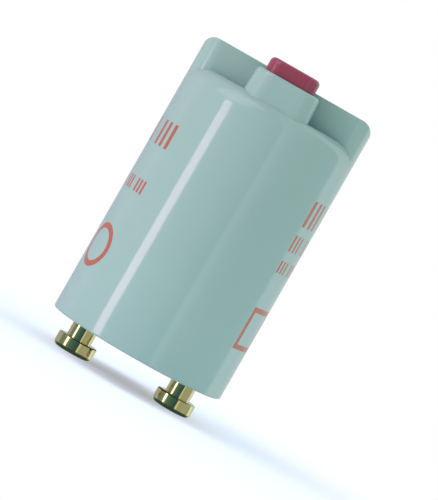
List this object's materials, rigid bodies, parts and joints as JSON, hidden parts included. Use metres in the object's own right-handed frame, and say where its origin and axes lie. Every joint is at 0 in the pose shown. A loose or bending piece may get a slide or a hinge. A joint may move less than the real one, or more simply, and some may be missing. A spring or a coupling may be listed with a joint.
{
  "type": "fluorescent starter",
  "caption": "Fluorescent starter with a stepped round plastic can, a sprung reset button in a boss, two mushroom contact pins, and a glow bulb and thermal cut-out inside.",
  "frame": {"origin": "centre of the can's open rim, on the can's axis", "axes": "+Z along the can's axis towards the button, X along the line of the two contact pins, the button stands at -Y"},
  "size_m": [0.0212, 0.0212, 0.04],
  "materials": {
    "can_plastic": "moulded, satin gloss",
    "button_plastic": "moulded, satin gloss",
    "spring_steel": "drawn wire",
    "base_plastic": "moulded",
    "pin_brass": "turned",
    "tag_brass": "stamped",
    "carrier_plastic": "moulded",
    "leaf_bronze": "rolled bronze",
    "contact_silver": "silver",
    "bimetal": "rolled bimetal",
    "heater_body": "lacquered",
    "tinned_wire": "tinned",
    "bulb_glass": "clear glass",
    "electrode_nickel": "nickel wire",
    "capacitor_body": "dipped epoxy"
  },
  "bodies": {
    "can": {"housing": "can_plastic", "button_spring": "spring_steel", "base_disc": "base_plastic", "contact_pin_left": "pin_brass", "contact_pin_right": "pin_brass", "pin_tag_left": "tag_brass", "pin_tag_right": "tag_brass", "carrier": "carrier_plastic", "contact_spring": "leaf_bronze", "leaf_rivet": "tag_brass", "moving_contact": "contact_silver", "fixed_contact": "contact_silver", "contact_bar": "tag_brass", "bimetal_latch": "bimetal", "latch_rivet": "tag_brass", "heater_resistor": "heater_body", "heater_lead_upper": "tinned_wire", "heater_lead_lower": "tinned_wire", "glow_bulb": "bulb_glass", "fixed_electrode": "electrode_nickel", "bimetal_electrode": "bimetal", "bulb_lead_left": "tinned_wire", "bulb_lead_right": "tinned_wire", "capacitor": "capacitor_body", "capacitor_lead_upper": "tinned_wire", "capacitor_lead_lower": "tinned_wire"},
    "button": {"reset_button": "button_plastic"}
  },
  "joints": [
    {"name": "button_press", "type": "slide", "parent": "can", "child": "button", "axis": [0, 0, -1], "range_m": [0, 0.0012], "stiffness_N_per_m": 600, "springref_m": -0.001, "deforming": ["button_spring"]}
  ]
}
